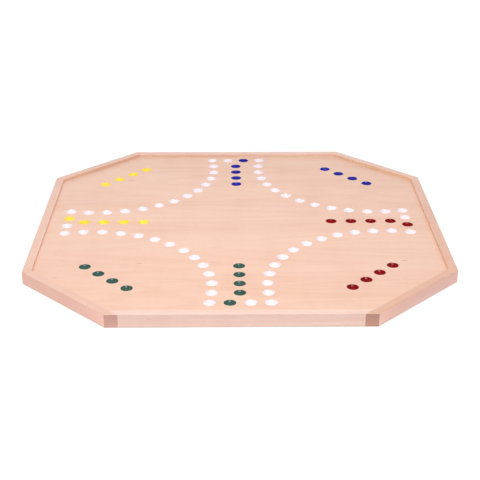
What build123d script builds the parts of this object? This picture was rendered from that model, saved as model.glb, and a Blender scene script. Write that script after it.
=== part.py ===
from build123d import *
import math
import os

# An octagonal wooden marble race board for four players. Millimetres.
# Origin: middle of the underside. +X right, +Y away from the front player, +Z up.

# Outline of the board. Each diagonal face is half as long as a straight face.
# It is a little less deep than wide.
ACROSS_FLATS = 609.6
FRONT_TO_BACK = 607.6
CORNER_CUT = ACROSS_FLATS * (math.sqrt(2) - 1) / 2
HALF_FLATS = ACROSS_FLATS / 2
HALF_DEPTH = FRONT_TO_BACK / 2
HALF_FACE = HALF_FLATS - CORNER_CUT

# Rim rails
RAIL_HEIGHT = 19.05
RAIL_WIDTH = 12.7
EASED_EDGE = 0.5
GROOVE_DEPTH = 5.5

# Veneered panel. A tongue round its core sits in the rails' grooves.
RIM_REVEAL = 4.2
PANEL_THICKNESS = 12.0
VENEER_THICKNESS = 0.6
TONGUE_LENGTH = 5.0
TONGUE_THICKNESS = 4.0
PANEL_TOP = RAIL_HEIGHT - RIM_REVEAL
PANEL_BOTTOM = PANEL_TOP - PANEL_THICKNESS
CORE_BOTTOM = PANEL_BOTTOM + VENEER_THICKNESS
CORE_THICKNESS = PANEL_THICKNESS - 2 * VENEER_THICKNESS
TONGUE_BOTTOM = (PANEL_TOP + PANEL_BOTTOM - TONGUE_THICKNESS) / 2
FACE_VENEER_BOTTOM = PANEL_TOP - VENEER_THICKNESS

# Marble sockets: painted spherical dishes
SOCKET_MOUTH = 16.4
SOCKET_DEPTH = 5.5
ENAMEL_THICKNESS = 0.3
SOCKET_RADIUS = ((SOCKET_MOUTH / 2) ** 2 + SOCKET_DEPTH**2) / (2 * SOCKET_DEPTH)
SOCKET_CENTRE_Z = PANEL_TOP + SOCKET_RADIUS - SOCKET_DEPTH

# Socket layout. The track is four concave arcs, joined by rows of four across the arm ends.
# Front and back arms share one set of sizes, left and right arms another.
PATTERN_SHIFT_X = -2.0
PATTERN_SHIFT_Y = 3.3
PATTERN_TURN = 0.15
ARC_CENTRE_X = 222.8
ARC_CENTRE_Y = 221.7
ARC_RADIUS = 185.0
HALF_ARC_SOCKETS = 6
FRONT_ARC_START = -5.2
FRONT_ARC_STEP = 8.95
SIDE_ARC_START = -3.35
SIDE_ARC_STEP = 8.88
END_ROW_PITCH = 27.5
FRONT_ARM_REACH = 266.9
SIDE_ARM_REACH = 261.2
FINISH_SOCKETS = 4
FRONT_FINISH_REACH = 238.3
FRONT_FINISH_PITCH = 27.5
SIDE_FINISH_REACH = 236.7
SIDE_FINISH_PITCH = 30.6
HOME_SOCKETS = 4
HOME_CENTRE_X = 186.2
HOME_CENTRE_Y = 189.9
HOME_STEP_X = 21.4
HOME_STEP_Y = 22.3

# Each player's own arm, as the way it points, and own home corner, as the signs of X and Y
PLAYERS = {
    "green": {"arm": (0, -1), "corner": (-1, -1)},
    "red": {"arm": (1, 0), "corner": (1, -1)},
    "blue": {"arm": (0, 1), "corner": (1, 1)},
    "yellow": {"arm": (-1, 0), "corner": (-1, 1)},
}

# Large enough to cut right across or right through the board
OVERSIZE = 2 * ACROSS_FLATS


def octagon(inset):
    """The board's outline, with every face moved in by inset."""
    side = HALF_FLATS - inset
    front = HALF_DEPTH - inset
    cut = CORNER_CUT - inset * (2 - math.sqrt(2))
    corners = [(cut - side, -front), (side - cut, -front), (side, cut - front), (side, front - cut)]
    corners += [(-x, -y) for x, y in corners]
    return Polygon(*corners, align=None)


def layer(inset, bottom, thickness):
    """A flat octagonal layer of the board."""
    return Pos(0, 0, bottom) * extrude(octagon(inset), amount=thickness, dir=(0, 0, 1))


# Socket positions


def half_arcs():
    """The sockets of one quarter's concave arc, in the +X +Y quarter."""
    spots = []
    for i in range(HALF_ARC_SOCKETS):
        turn = math.radians(FRONT_ARC_START + i * FRONT_ARC_STEP)
        spots.append((ARC_CENTRE_X - ARC_RADIUS * math.cos(turn), ARC_CENTRE_Y - ARC_RADIUS * math.sin(turn)))
        turn = math.radians(SIDE_ARC_START + i * SIDE_ARC_STEP)
        spots.append((ARC_CENTRE_X - ARC_RADIUS * math.sin(turn), ARC_CENTRE_Y - ARC_RADIUS * math.cos(turn)))
    return spots


def arm_end(arm, along_row):
    """A place in the end row of an arm, along_row pitches from the arm's middle."""
    x, y = arm
    if x:
        return (x * SIDE_ARM_REACH, along_row * END_ROW_PITCH)
    return (along_row * END_ROW_PITCH, y * FRONT_ARM_REACH)


def start_side(arm):
    """Which side of its arm's middle a player's start socket is on."""
    x, y = arm
    return y - x


def track_spots():
    """The white sockets."""
    quarter = half_arcs()
    spots = [(x * sx, y * sy) for sx in (-1, 1) for sy in (-1, 1) for x, y in quarter]
    for player in PLAYERS.values():
        for along_row in (-1.5, 1.5, -0.5 * start_side(player["arm"])):
            spots.append(arm_end(player["arm"], along_row))
    return spots


def start_spots(player):
    return [arm_end(player["arm"], 0.5 * start_side(player["arm"]))]


def finish_spots(player):
    """The column that leads in along a player's arm."""
    x, y = player["arm"]
    side = [(x * (SIDE_FINISH_REACH - i * SIDE_FINISH_PITCH), 0) for i in range(FINISH_SOCKETS)]
    front = [(0, y * (FRONT_FINISH_REACH - i * FRONT_FINISH_PITCH)) for i in range(FINISH_SOCKETS)]
    return side if x else front


def home_spots(player):
    """The row where a player's marbles wait, along the diagonal rail of that corner."""
    x, y = player["corner"]
    steps = [i - (HOME_SOCKETS - 1) / 2 for i in range(HOME_SOCKETS)]
    return [(x * (HOME_CENTRE_X + i * HOME_STEP_X), y * (HOME_CENTRE_Y - i * HOME_STEP_Y)) for i in steps]


def socket_groups():
    """Every socket on the board, by the name of its coat of enamel."""
    groups = {"white_track_enamel": track_spots()}
    for colour, player in PLAYERS.items():
        groups[colour + "_start_enamel"] = start_spots(player)
        groups[colour + "_finish_enamel"] = finish_spots(player)
        groups[colour + "_home_enamel"] = home_spots(player)
    return {name: [on_board(x, y) for x, y in spots] for name, spots in groups.items()}


def on_board(x, y):
    """A place in the layout, on the board. The layout isn't quite central or square with the rim."""
    turn = math.radians(PATTERN_TURN)
    return (
        PATTERN_SHIFT_X + x * math.cos(turn) - y * math.sin(turn),
        PATTERN_SHIFT_Y + x * math.sin(turn) + y * math.cos(turn),
    )


# Pieces


def rim():
    """All eight rails as one ring, with the panel's groove and eased long edges."""
    ring = layer(0, 0, RAIL_HEIGHT) - layer(RAIL_WIDTH, 0, RAIL_HEIGHT)
    ring = ring - layer(RAIL_WIDTH - GROOVE_DEPTH, TONGUE_BOTTOM, TONGUE_THICKNESS)
    long_edges = ring.edges().filter_by_position(Axis.Z, RAIL_HEIGHT, RAIL_HEIGHT)
    long_edges += ring.edges().filter_by_position(Axis.Z, 0, 0)
    return fillet(long_edges, EASED_EDGE)


def corner_block(turn):
    """Everything outside the inner face of one diagonal rail."""
    inner_face = (HALF_FACE + HALF_DEPTH) / math.sqrt(2) - RAIL_WIDTH
    block = Pos(inner_face + OVERSIZE / 2, 0, 0) * Box(OVERSIZE, OVERSIZE, OVERSIZE)
    return Rot(0, 0, turn) * block


def side_block(turn):
    """Everything on one side of the board's middle, about as wide as a straight rail is long."""
    block = Pos(OVERSIZE / 2, 0, 0) * Box(OVERSIZE, ACROSS_FLATS - CORNER_CUT, OVERSIZE)
    return Rot(0, 0, turn) * block


def rails():
    """The diagonal rails run through, and the straight rails butt between them."""
    ring = rim()
    diagonal = {"back_right": 45, "back_left": 135, "front_left": 225, "front_right": 315}
    straight = {"right": 0, "back": 90, "left": 180, "front": 270}
    found = {name + "_rail": ring & corner_block(turn) for name, turn in diagonal.items()}
    between = ring
    for turn in diagonal.values():
        between = between - corner_block(turn)
    for name, turn in straight.items():
        found[name + "_rail"] = between & side_block(turn)
    return found


def panel_layers(spots):
    """The panel's core and two face veneers, with the sockets cut through the upper veneer into the core."""
    dish = Pos(0, 0, SOCKET_CENTRE_Z) * Sphere(SOCKET_RADIUS + ENAMEL_THICKNESS)
    dishes = [Pos(x, y, 0) * dish for x, y in spots]
    core = layer(RAIL_WIDTH, CORE_BOTTOM, CORE_THICKNESS)
    tongue = layer(RAIL_WIDTH - TONGUE_LENGTH, TONGUE_BOTTOM, TONGUE_THICKNESS)
    return {
        "playing_face_veneer": layer(RAIL_WIDTH, FACE_VENEER_BOTTOM, VENEER_THICKNESS) - dishes,
        "panel_core": core + tongue - dishes,
        "back_face_veneer": layer(RAIL_WIDTH, PANEL_BOTTOM, VENEER_THICKNESS),
    }


def enamel_coat():
    """The paint in one socket: a thin dish, open at the playing face."""
    centre = Pos(0, 0, SOCKET_CENTRE_Z)
    skin = centre * Sphere(SOCKET_RADIUS + ENAMEL_THICKNESS) - centre * Sphere(SOCKET_RADIUS)
    above = Pos(0, 0, PANEL_TOP + OVERSIZE / 2) * Box(OVERSIZE, OVERSIZE, OVERSIZE)
    return skin - above


def save(name, solids):
    export_step(Compound(label=name, children=solids), os.path.join("parts", name + ".step"))


def main():
    os.makedirs("parts", exist_ok=True)
    groups = socket_groups()
    spots = [spot for group in groups.values() for spot in group]
    for name, piece in {**rails(), **panel_layers(spots)}.items():
        save(name, piece.solids())
    coat = enamel_coat().solid()
    for name, group in groups.items():
        save(name, [Pos(x, y, 0) * coat for x, y in group])


main()
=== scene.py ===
import bmesh
import bpy
import math
import random
from mathutils import Matrix, Vector, geometry


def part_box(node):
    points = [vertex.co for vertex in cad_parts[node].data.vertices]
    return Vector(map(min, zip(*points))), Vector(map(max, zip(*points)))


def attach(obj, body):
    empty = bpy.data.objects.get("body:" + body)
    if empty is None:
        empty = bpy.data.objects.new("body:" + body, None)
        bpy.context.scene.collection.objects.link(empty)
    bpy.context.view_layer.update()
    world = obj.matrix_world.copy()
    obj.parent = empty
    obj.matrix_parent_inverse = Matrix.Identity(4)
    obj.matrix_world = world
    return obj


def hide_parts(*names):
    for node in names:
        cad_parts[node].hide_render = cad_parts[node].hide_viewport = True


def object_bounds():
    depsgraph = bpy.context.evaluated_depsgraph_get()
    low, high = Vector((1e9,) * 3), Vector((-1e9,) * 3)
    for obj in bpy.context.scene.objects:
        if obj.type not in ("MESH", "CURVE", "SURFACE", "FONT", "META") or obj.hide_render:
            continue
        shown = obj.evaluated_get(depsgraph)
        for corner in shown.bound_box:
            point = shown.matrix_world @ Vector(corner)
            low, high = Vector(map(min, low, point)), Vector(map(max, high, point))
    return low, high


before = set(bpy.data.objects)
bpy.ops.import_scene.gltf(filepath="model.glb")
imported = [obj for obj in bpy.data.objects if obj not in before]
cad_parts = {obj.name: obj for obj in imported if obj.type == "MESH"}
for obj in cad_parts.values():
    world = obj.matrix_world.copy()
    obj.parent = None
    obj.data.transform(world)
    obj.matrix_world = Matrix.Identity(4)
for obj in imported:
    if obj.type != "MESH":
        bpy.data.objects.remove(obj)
cad_box = [list(corner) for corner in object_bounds()]

# An octagonal wooden marble race board. Metres, in the frame of its CAD model.

MM = 0.001
RANDOM_SEED = 21

SAME_POINT = 0.001 * MM

# Playing face veneer
FACE_GAP = 0.12 * MM
HOLE_SEGMENTS = 48

# Enamel in the sockets. RIM_SECTION is the paint over the rim of a hole, in millimetres: how far
# in from the paint's edge each point is, and how far above the playing face.
PAINT_WOBBLE = 0.04 * MM
WOBBLE_WAVES = (2, 3, 4)
PAINT_BODY = 0.14 * MM
COAT_THICKNESS = 0.3 * MM
BRUSH_MARKS = 0.01 * MM
RIM_SECTION = ((0.0, 0.0), (0.04, 0.025), (0.13, 0.018), (0.22, -0.04), (0.30, -0.16))
HOLE_INSET = 0.06 * MM
DISH_STEPS = 10
UNDERSIDE_STEPS = 5

# Camera, from where it aims
CAMERA_AIM = (0.0007, -0.0742)
CAMERA_DISTANCE = 1.6305
CAMERA_PITCH = math.radians(24.741)
CAMERA_YAW = math.radians(0.798)
CAMERA_ROLL = math.radians(0.120)
CAMERA_LENS = 82.58
CAMERA_SENSOR = 36.0

# Floor and light. The surround grows from dim in front of the board to bright behind it.
FLOOR_SIDE = 40.0
FLOOR_GLOW = 0.94
FLOOR_ROUGHNESS = 0.9
SURROUND_FRONT = 0.42
SURROUND_BACK = 0.85

# For each rail: its grain, as the angle of its length from +X; how warm its own piece of maple
# is; the shares of that tone that its upright faces have, which are painted light and shade, each
# rail's upright faces made lighter or darker than its top by how light falls on them; and the
# shares of that tone that its end grain has.
ENDS = (0.635, 0.515, 0.51)
RAILS = {
    "front_rail": (0, -0.16, (0.765, 0.755, 0.755), ENDS),
    "back_rail": (0, -0.03, (1.02, 1.03, 0.98), ENDS),
    "left_rail": (90, 0.54, (1.14, 1.17, 1.10), ENDS),
    "right_rail": (90, 0.80, (1.18, 1.23, 1.08), ENDS),
    "front_left_rail": (-45, 0.45, (1.07, 0.99, 1.02), ENDS),
    "back_right_rail": (-45, 0.40, (1.08, 1.11, 0.91), ENDS),
    "front_right_rail": (45, 0.95, (1.09, 1.10, 1.28), (0.58, 0.465, 0.455)),
    "back_left_rail": (45, 0.72, (1.07, 1.07, 0.99), ENDS),
}
TONE_SPREAD = 0.14

PLAYER_COLOURS = ("green", "red", "blue", "yellow")
PLAYER_PLACES = ("start", "finish", "home")


def srgb(red, green, blue):
    """A colour given in the usual 0 to 255 values, as the linear values that a shader wants."""

    def linear(value):
        share = value / 255
        return share / 12.92 if share <= 0.04045 else ((share + 0.055) / 1.055) ** 2.4

    return (linear(red), linear(green), linear(blue), 1.0)


# Material building


class Shading:
    """A material under construction, with short calls for the nodes that it needs."""

    def __init__(self, name):
        self.material = bpy.data.materials.new(name)
        self.material.use_nodes = True
        self.tree = self.material.node_tree
        self.tree.nodes.clear()
        self.place = self.add("TexCoord").outputs["Object"]

    def add(self, kind, inputs=None, **settings):
        node = self.tree.nodes.new("ShaderNode" + kind)
        for key, value in settings.items():
            setattr(node, key, value)
        for key, value in (inputs or {}).items():
            if isinstance(value, bpy.types.NodeSocket):
                self.tree.links.new(value, node.inputs[key])
            else:
                node.inputs[key].default_value = value
        return node

    def moved(self, vector, scale=(1, 1, 1), turn=0.0, shift=(0, 0, 0)):
        inputs = {"Vector": vector, "Scale": scale, "Rotation": (0, 0, turn), "Location": shift}
        return self.add("Mapping", inputs).outputs["Vector"]

    def noise(self, vector, scale=1.0, detail=2.0, rough=0.5, warp=0.0):
        inputs = {"Vector": vector, "Scale": scale, "Detail": detail, "Roughness": rough, "Distortion": warp}
        return self.add("TexNoise", inputs).outputs["Fac"]

    def sums(self, operation, first, second=0.0, third=0.0, clamp=False):
        inputs = {0: first, 1: second, 2: third}
        return self.add("Math", inputs, operation=operation, use_clamp=clamp).outputs[0]

    def between(self, value, low, high, to_low=0.0, to_high=1.0):
        """value's place between low and high, as a number between to_low and to_high."""
        inputs = {"Value": value, "From Min": low, "From Max": high, "To Min": to_low, "To Max": to_high}
        return self.add("MapRange", inputs, interpolation_type="SMOOTHSTEP").outputs["Result"]

    def blend(self, share, first, second, how="MIX"):
        inputs = {"Factor": share, "A": first, "B": second}
        node = self.add("Mix", None, data_type="RGBA", blend_type=how)
        sockets = {"Factor": node.inputs[0], "A": node.inputs[6], "B": node.inputs[7]}
        for key, value in inputs.items():
            if isinstance(value, bpy.types.NodeSocket):
                self.tree.links.new(value, sockets[key])
            else:
                sockets[key].default_value = value
        return node.outputs[2]

    def tinted(self, share, colour, shares):
        """colour with its red, green and blue scaled by shares, as far as share says."""
        scaled = self.add("VectorMath", {0: colour, 1: shares}, operation="MULTIPLY").outputs[0]
        return self.blend(share, colour, scaled)

    def finish(self, colour, roughness, bump_height=None, bump_distance=0.0, **uniform):
        inputs = {"Base Color": colour, "Roughness": roughness, **uniform}
        if bump_height is not None:
            bump = self.add("Bump", {"Height": bump_height, "Distance": bump_distance, "Strength": 1.0})
            inputs["Normal"] = bump.outputs["Normal"]
        shader = self.add("BsdfPrincipled", inputs)
        self.add("OutputMaterial", {"Surface": shader.outputs["BSDF"]})
        return self.material


# Wood

PALE_MAPLE = srgb(229, 188, 165)
WARM_MAPLE = srgb(226, 183, 159)
RAIL_PALE = srgb(232, 196, 182)
RAIL_WARM = srgb(215, 168, 144)
GRAIN_LINE = srgb(212, 150, 116)
FLECK = srgb(190, 128, 94)
MINERAL = srgb(186, 116, 90)
MAPLE_RELIEF = 0.05 * MM
LACQUER = {"IOR": 1.48, "Coat Weight": 0.12, "Coat Roughness": 0.28}

# End grain: how dark its pores are, its growth rings, and painted light low down: how high it
# reaches, and the shares that make the end grain's tone lighter towards the bottom edge
END_GRAIN_PORES = 0.84
RING_SPACING = 2.6 * MM
PAINTED_LOW_LIGHT_HEIGHT = 7 * MM
PAINTED_LOW_LIGHT_SHARES = (1.12, 1.18, 1.18)

# Bare fibreboard
FIBRE_PALE = srgb(176, 140, 104)
FIBRE_DARK = srgb(140, 106, 76)
FIBRE_CLOUD = srgb(150, 116, 84)
FIBRE_RELIEF = 0.1 * MM


def shared(colour, shares):
    """A colour with only a share of its red, green and blue."""
    return tuple(value * share for value, share in zip(colour[:3], shares)) + (1.0,)


def rail_tone(warmth):
    """The colour of a rail, between the palest and the warmest."""
    return tuple(pale + warmth * (warm - pale) for pale, warm in zip(RAIL_PALE, RAIL_WARM))


def end_grain(build, along, light):
    """Cut ends of the fibres: pores, and arcs of growth rings, with painted light that makes them lighter
    towards the bottom edge.
    """
    dark = shared(light, [END_GRAIN_PORES] * 3)
    pores = build.noise(along, scale=900.0, detail=2.0)
    bend = build.noise(along, scale=22.0, detail=1.0)
    height = build.add("SeparateXYZ", {"Vector": build.place}).outputs["Z"]
    wander = build.sums("MULTIPLY", bend, 12.0)
    rings = build.sums("SINE", build.sums("MULTIPLY_ADD", height, 2 * math.pi / RING_SPACING, wander))
    colour = build.blend(build.between(pores, 0.4, 0.7), light, dark)
    colour = build.blend(build.between(rings, 0.2, 1.0, 0.0, 0.5), colour, dark)
    # Painted light: the end grain's tone made lighter towards the bottom edge.
    return build.tinted(build.between(height, PAINTED_LOW_LIGHT_HEIGHT, 0.0), colour, PAINTED_LOW_LIGHT_SHARES)


def maple(name, pale, warm, grain_turn, seed, streaks=(), sides=None, ends=None):
    """Lacquered maple with its grain along one level direction; sides, if given, paint light and shade onto
    its upright faces.
    """
    build = Shading(name)
    spot = random.Random(seed)
    shift = tuple(spot.uniform(-9, 9) for _ in range(3))
    along = build.moved(build.place, turn=-math.radians(grain_turn), shift=shift)
    tone = build.noise(build.moved(along, scale=(1.5, 16, 16)), detail=3.0)
    figure = build.noise(build.moved(along, scale=(1.1, 11, 11)), detail=1.5, warp=0.4)
    rings = build.sums("SINE", build.sums("MULTIPLY", figure, 95.0))
    fibre = build.noise(build.moved(along, scale=(14, 620, 620)), detail=2.0)
    dashes = build.noise(build.moved(along, scale=(85, 1300, 1300)), detail=1.0)
    mottle = build.noise(build.moved(along, scale=(26, 7, 7)), detail=2.0)

    colour = build.blend(build.between(tone, 0.36, 0.64), pale, warm)
    colour = build.blend(build.between(rings, 0.1, 1.0, 0.0, 0.13), colour, GRAIN_LINE)
    colour = build.blend(build.between(fibre, 0.5, 0.75, 0.0, 0.16), colour, GRAIN_LINE)
    colour = build.blend(build.between(dashes, 0.66, 0.74, 0.0, 0.35), colour, FLECK)
    colour = build.blend(build.between(mottle, 0.45, 0.75, 0.0, 0.10), colour, warm, how="MULTIPLY")
    for x, y, length, width, strength in streaks:
        offset = build.add("VectorMath", {0: build.place, 1: (x, y, 0)}, operation="SUBTRACT").outputs[0]
        stretched = build.moved(offset, scale=(1 / length, 1 / width, 0))
        reach = build.add("VectorMath", {0: stretched}, operation="LENGTH").outputs["Value"]
        ragged = build.sums("ADD", reach, build.between(fibre, 0.3, 0.7, 0.0, 0.5))
        colour = build.blend(build.between(ragged, 0.4, 1.2, strength, 0.0), colour, MINERAL)
    # Painted light and shade: the upright faces' colour scaled lighter or darker to stand in for how light
    # falls on them.
    if sides:
        normal = build.add("TexCoord").outputs["Normal"]
        upright = build.add("SeparateXYZ", {"Vector": normal}).outputs["Z"]
        painted_light_side_share = build.between(build.sums("ABSOLUTE", upright), 0.5, 0.9, 1.0, 0.0)
        colour = build.tinted(painted_light_side_share, colour, sides)
    if ends:
        lengthways = build.moved(normal, turn=-math.radians(grain_turn))
        facing = build.add("SeparateXYZ", {"Vector": lengthways}).outputs["X"]
        cut = build.between(build.sums("ABSOLUTE", facing), 0.55, 0.68)
        middle = [(pale_value + warm_value) / 2 for pale_value, warm_value in zip(pale, warm)]
        colour = build.blend(cut, colour, end_grain(build, along, shared(middle, ends)))
    sheen = build.between(build.noise(build.moved(along, scale=(12, 60, 60))), 0.3, 0.7, 0.34, 0.46)
    grain_height = build.sums("ADD", build.sums("MULTIPLY", fibre, 0.7), build.sums("MULTIPLY", dashes, 0.3))
    return build.finish(colour, sheen, grain_height, MAPLE_RELIEF, **LACQUER)


def fibreboard():
    """The bare core of the panel."""
    build = Shading("fibreboard")
    specks = build.noise(build.place, scale=1400.0, detail=3.0)
    clouds = build.noise(build.place, scale=60.0, detail=2.0)
    colour = build.blend(build.between(specks, 0.35, 0.65), FIBRE_PALE, FIBRE_DARK)
    colour = build.blend(build.between(clouds, 0.4, 0.7, 0.0, 0.3), colour, FIBRE_CLOUD)
    return build.finish(colour, build.between(specks, 0.3, 0.7, 0.75, 0.95), specks, FIBRE_RELIEF)


# Enamel paint

# For each paint: its colour where it is full and where it is thin, and its refractive index
ENAMELS = {
    "white": (srgb(243, 232, 238), srgb(239, 226, 232), 1.25),
    "green": (srgb(63, 98, 89), srgb(51, 85, 76), 1.25),
    "red": (srgb(144, 0, 4), srgb(126, 0, 2), 1.22),
    "blue": (srgb(34, 36, 166), srgb(26, 28, 141), 1.25),
    "yellow": (srgb(253, 227, 93), srgb(247, 213, 70), 1.14),
}


def enamel(colour):
    """Brushed gloss paint, a little uneven in depth and gloss."""
    build = Shading(colour + "_enamel")
    full, thin, index = ENAMELS[colour]
    depth = build.noise(build.place, scale=90.0, detail=2.0, warp=0.3)
    brushed = build.noise(build.moved(build.place, scale=(320, 1500, 700)), detail=2.0)
    dust = build.noise(build.place, scale=2600.0, detail=1.0)
    paint = build.blend(build.between(depth, 0.35, 0.7, 0.0, 0.7), full, thin)
    paint = build.blend(build.between(brushed, 0.5, 0.8, 0.0, 0.25), paint, thin)
    gloss = build.between(depth, 0.3, 0.7, 0.12, 0.2)
    height = build.sums("ADD", build.sums("MULTIPLY", brushed, 0.6), build.sums("MULTIPLY", dust, 0.4))
    return build.finish(paint, gloss, height, BRUSH_MARKS, **{"IOR": index})


# Meshes


def new_piece(name, verts, faces, material, smooth_from=0):
    """An object from points and faces. Faces from smooth_from on are shaded smooth."""
    mesh = bpy.data.meshes.new(name)
    mesh.from_pydata(verts, [], faces)
    for face in mesh.polygons[smooth_from:]:
        face.use_smooth = True
    mesh.materials.append(material)
    mesh.update()
    piece = bpy.data.objects.new(name, mesh)
    bpy.context.scene.collection.objects.link(piece)
    return piece


def socket_boxes(node):
    """The lowest and highest corner of each separate solid in a CAD node of enamel coats."""
    shape = bmesh.new()
    shape.from_mesh(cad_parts[node].data)
    bmesh.ops.remove_doubles(shape, verts=shape.verts, dist=SAME_POINT)
    waiting = set(shape.verts)
    boxes = []
    while waiting:
        found = {waiting.pop()}
        edge = list(found)
        while edge:
            vertex = edge.pop()
            near = {e.other_vert(vertex) for e in vertex.link_edges} - found
            found |= near
            edge += near
        waiting -= found
        low = Vector([min(v.co[axis] for v in found) for axis in range(3)])
        high = Vector([max(v.co[axis] for v in found) for axis in range(3)])
        boxes.append((low, high))
    shape.free()
    return sorted(boxes, key=lambda corners: tuple(corners[0]))


def ring(centre, radius, height, wobble=None):
    """A level circle of points. wobble, if given, is how far out each point is moved."""
    points = []
    for i in range(HOLE_SEGMENTS):
        turn = 2 * math.pi * i / HOLE_SEGMENTS
        reach = radius + (wobble[i] if wobble else 0)
        points.append((centre.x + reach * math.cos(turn), centre.y + reach * math.sin(turn), height))
    return points


def ring_faces(upper, lower):
    """Quads between two rings, given by their first points' numbers."""
    count = HOLE_SEGMENTS
    steps = [(i, (i + 1) % count) for i in range(count)]
    return [(upper + a, upper + b, lower + b, lower + a) for a, b in steps]


def face_outline():
    """The corners of the playing face, from its CAD veneer, and just clear of the rails."""
    low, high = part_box("playing_face_veneer")
    points = [v.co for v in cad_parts["playing_face_veneer"].data.vertices]
    end_x = max(p.x for p in points if p.y < low.y + FACE_GAP)
    end_y = max(p.y for p in points if p.x < low.x + FACE_GAP)
    corners = [(-end_x, low.y), (end_x, low.y), (high.x, -end_y), (high.x, end_y)]
    corners += [(-x, -y) for x, y in corners]
    return [Vector(corner) * (1 - FACE_GAP / high.x) for corner in corners]


def playing_face(sockets, mouth, wall):
    """The face veneer: a thin sheet with a hole for every socket, mouth wide above and wall below."""
    low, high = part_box("playing_face_veneer")
    outline = face_outline()
    flat = list(outline)
    loops = [list(range(len(outline)))]
    for centre in sockets:
        loops.append([len(flat) + i for i in range(HOLE_SEGMENTS)])
        flat += [Vector(point[:2]) for point in ring(centre, mouth, 0)]
    edges = [(a, b) for loop in loops for a, b in zip(loop, loop[1:] + loop[:1])]
    points, _, triangles, *_ = geometry.delaunay_2d_cdt(flat, edges, [], 0, SAME_POINT)
    reach = mouth * math.cos(math.pi / HOLE_SEGMENTS)

    def in_hole(triangle):
        middle = sum((points[i] for i in triangle), Vector((0, 0))) / len(triangle)
        return any((middle - centre.xy).length < reach for centre in sockets)

    kept = [tuple(triangle) for triangle in triangles if not in_hole(triangle)]
    verts = [(x, y, high.z) for x, y in points]
    under = len(verts)
    verts += [(x, y, low.z) for x, y in outline]
    for centre in sockets:
        verts += ring(centre, wall, low.z)
    faces = kept + [tuple(under + i for i in reversed(triangle)) for triangle in kept]
    sides = len(outline)
    for i in range(sides):
        after = (i + 1) % sides
        faces.append((i, under + i, under + after, after))
    smooth_from = len(faces)
    for n in range(len(sockets)):
        first = sides + n * HOLE_SEGMENTS
        faces += ring_faces(first, under + first)
    return new_piece("playing_face", verts, faces, FACE_MAPLE, smooth_from)


def bowl(centre, radius, middle, rim_height, steps):
    """Rings down the inside of a sphere from rim_height, not counting its lowest point."""
    rim_turn = math.acos((middle - rim_height) / radius)
    turns = [rim_turn * (1 - step / steps) for step in range(steps)]
    return [ring(centre, radius * math.sin(turn), middle - radius * math.cos(turn)) for turn in turns]


def enamel_coats(name, node, colour, chance):
    """The paint in one group of sockets: a dish in each, lapped over the rim of its hole."""
    verts = []
    faces = []

    def join(rings, pole_height, upside):
        """Adds rings one inside the next, closed by a fan round a last point."""
        first = len(verts)
        for points in rings:
            verts.extend(points)
        for n in range(len(rings) - 1):
            upper, lower = first + n * HOLE_SEGMENTS, first + (n + 1) * HOLE_SEGMENTS
            faces.extend(ring_faces(upper, lower) if upside else ring_faces(lower, upper))
        last = first + (len(rings) - 1) * HOLE_SEGMENTS
        pole = len(verts)
        verts.append((centre.x, centre.y, pole_height))
        for i in range(HOLE_SEGMENTS):
            a, b = last + i, last + (i + 1) % HOLE_SEGMENTS
            faces.append((a, b, pole) if upside else (b, a, pole))

    for low, high in socket_boxes(node):
        centre = (low + high) / 2
        edge = (high.x - low.x) / 2
        wobble = edge_wobble(chance)
        radius, middle = dish_sphere(low, high)
        rim = [ring(centre, edge - inward * MM, high.z + up * MM, wobble) for inward, up in RIM_SECTION]
        start = high.z + 2 * RIM_SECTION[-1][1] * MM
        join(rim + bowl(centre, radius, middle, start, DISH_STEPS), middle - radius, True)
        under_rim = ring(centre, edge - 2 * HOLE_INSET, high.z - HOLE_INSET)
        outer = radius + PAINT_BODY
        back = bowl(centre, outer, middle, start, UNDERSIDE_STEPS)
        join([rim[0], under_rim] + back, middle - outer, False)
    piece = new_piece(name, verts, faces, ENAMEL[colour])
    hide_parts(node)
    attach(piece, "root")
    return piece


def edge_wobble(chance):
    """How far out a brushed edge runs at each point round a socket."""
    waves = [(count, chance.uniform(0, 2 * math.pi)) for count in WOBBLE_WAVES]
    turns = [2 * math.pi * i / HOLE_SEGMENTS for i in range(HOLE_SEGMENTS)]
    return [PAINT_WOBBLE * sum(math.sin(count * turn + phase) for count, phase in waves) for turn in turns]


def dish_sphere(low, high):
    """The radius, and the height of the middle, of the sphere that a socket's paint follows."""
    edge = (high.x - low.x) / 2
    depth = high.z - low.z
    back = (edge**2 + depth**2) / (2 * depth)
    return back - COAT_THICKNESS, low.z + back


# The board

# Where each wood's noise starts
FACE_SEED = 3
RAIL_SEED = 40
BACK_SEED = 90

ENAMEL = {colour: enamel(colour) for colour in ENAMELS}
# Each streak: its middle, its length and width, and how strong it is
MINERAL_STREAKS = (
    (-0.1434, -0.1430, 0.0060, 0.0019, 0.95),
    (0.2355, -0.1376, 0.0058, 0.0019, 0.90),
    (0.2475, -0.1325, 0.0070, 0.0012, 0.45),
    (-0.1787, 0.1783, 0.0115, 0.0028, 0.72),
    (-0.2782, 0.1759, 0.0070, 0.0024, 0.30),
    (-0.2578, -0.1872, 0.0060, 0.0050, 0.22),
    (-0.1306, -0.2317, 0.0130, 0.0040, 0.14),
)
RAIL_KNOTS = {"back_rail": ((0.0125, 0.2970, 0.0070, 0.0075, 0.40),)}
FACE_MAPLE = maple("face_maple", PALE_MAPLE, WARM_MAPLE, 0, FACE_SEED, streaks=MINERAL_STREAKS)

chance = random.Random(RANDOM_SEED)
coat_nodes = [("white_track", "white")]
coat_nodes += [(f"{colour}_{place}", colour) for colour in PLAYER_COLOURS for place in PLAYER_PLACES]
sockets = []
for group, colour in coat_nodes:
    enamel_coats(group + "_paint", group + "_enamel", colour, chance)
    sockets += [(low + high) / 2 for low, high in socket_boxes(group + "_enamel")]
low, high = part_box("green_start_enamel")
mouth = (high.x - low.x) / 2 - HOLE_INSET
veneer = playing_face(sockets, mouth, mouth - COAT_THICKNESS / 2)
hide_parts("playing_face_veneer")
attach(veneer, "root")

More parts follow.
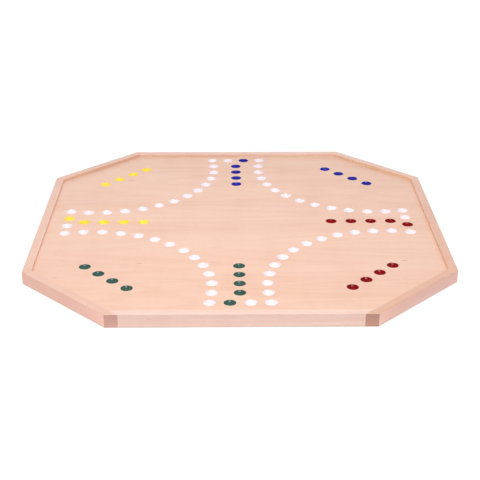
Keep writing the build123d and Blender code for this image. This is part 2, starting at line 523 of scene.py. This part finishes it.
for seed, (rail, (turn, warmth, sides, ends)) in enumerate(RAILS.items()):
    pale, warm = (rail_tone(warmth + side * TONE_SPREAD) for side in (-1, 1))
    streaks = RAIL_KNOTS.get(rail, ())
    wood = maple(rail + "_maple", pale, warm, turn, RAIL_SEED + seed, streaks, sides, ends)
    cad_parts[rail].material_slots[0].material = wood
back_maple = maple("back_maple", PALE_MAPLE, WARM_MAPLE, 0, BACK_SEED)
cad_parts["back_face_veneer"].material_slots[0].material = back_maple
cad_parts["panel_core"].material_slots[0].material = fibreboard()


# Floor, light and camera


def floor():
    """A plain white floor, glowing enough that its edge doesn't show."""
    build = Shading("floor_white")
    clouds = build.noise(build.place, scale=3.0)
    colour = build.blend(build.between(clouds, 0.3, 0.7), srgb(96, 96, 96), srgb(92, 92, 92))
    glow = {"Emission Color": (1, 1, 1, 1), "Emission Strength": FLOOR_GLOW}
    material = build.finish(colour, FLOOR_ROUGHNESS, **glow)
    half = FLOOR_SIDE / 2
    corners = [(-half, -half, 0), (half, -half, 0), (half, half, 0), (-half, half, 0)]
    return new_piece("studio_floor", corners, [(0, 1, 2, 3)], material)


def soft_light(name, place, aim, width, height, brightness, lights=True, mirrored=True):
    """A rectangular light. brightness is how bright its face looks, with 1 as white.
    One that isn't mirrored shows in no reflection, and one without lights only there."""
    lamp = bpy.data.lights.new(name, "AREA")
    lamp.shape = "RECTANGLE"
    lamp.size = width
    lamp.size_y = height
    lamp.energy = brightness * math.pi * width * height
    holder = bpy.data.objects.new(name, lamp)
    holder.location = place
    holder.rotation_euler = (Vector(aim) - Vector(place)).to_track_quat("-Z", "Y").to_euler()
    holder.visible_camera = False
    holder.visible_diffuse = lights
    holder.visible_glossy = mirrored
    bpy.context.scene.collection.objects.link(holder)


def studio_world(front, back):
    """An even surround that grows from dim behind the camera to bright behind the board."""
    world = bpy.data.worlds.new("studio")
    world.use_nodes = True
    nodes, links = world.node_tree.nodes, world.node_tree.links
    direction = nodes.new("ShaderNodeSeparateXYZ")
    links.new(nodes.new("ShaderNodeTexCoord").outputs["Generated"], direction.inputs["Vector"])
    ramp = nodes.new("ShaderNodeMapRange")
    for key, value in {"From Min": -1, "From Max": 1, "To Min": front, "To Max": back}.items():
        ramp.inputs[key].default_value = value
    links.new(direction.outputs["Y"], ramp.inputs["Value"])
    nodes["Background"].inputs["Color"].default_value = (1, 1, 1, 1)
    links.new(ramp.outputs["Result"], nodes["Background"].inputs["Strength"])
    bpy.context.scene.world = world


def camera():
    lens = bpy.data.cameras.new("camera")
    lens.lens = CAMERA_LENS
    lens.sensor_width = CAMERA_SENSOR
    holder = bpy.data.objects.new("camera", lens)
    turn = Matrix.Rotation(-CAMERA_YAW, 3, "Z") @ Matrix.Rotation(math.pi / 2 - CAMERA_PITCH, 3, "X")
    turn = turn @ Matrix.Rotation(CAMERA_ROLL, 3, "Z")
    aim = Vector((*CAMERA_AIM, cad_box[1][2]))
    holder.location = aim - turn @ Vector((0, 0, -CAMERA_DISTANCE))
    holder.rotation_euler = turn.to_euler()
    bpy.context.scene.collection.objects.link(holder)
    bpy.context.scene.camera = holder


floor()
studio_world(SURROUND_FRONT, SURROUND_BACK)
soft_light("front_softbox", (-0.2, -2.1, 1.6), (0, 0, 0), 0.9, 1.25, 4.9, mirrored=False)
soft_light("overhead", (-0.05, -0.25, 0.8), (0, -0.15, 0), 0.8, 0.6, 2.2, mirrored=False)
soft_light("front_card", (0.4, -2.1, 1.55), (0, 0, 0), 1.7, 1.5, 14, lights=False)
soft_light("back_card", (0, 3.0, 1.3), (0, 0, 0), 5.0, 1.8, 0.5, lights=False)
soft_light("floor_strip", (0, -0.316, 0.0005), (0, -0.316, 1), 0.5, 0.02, 1.1, mirrored=False)
camera()
bpy.context.scene.view_settings.view_transform = "Standard"
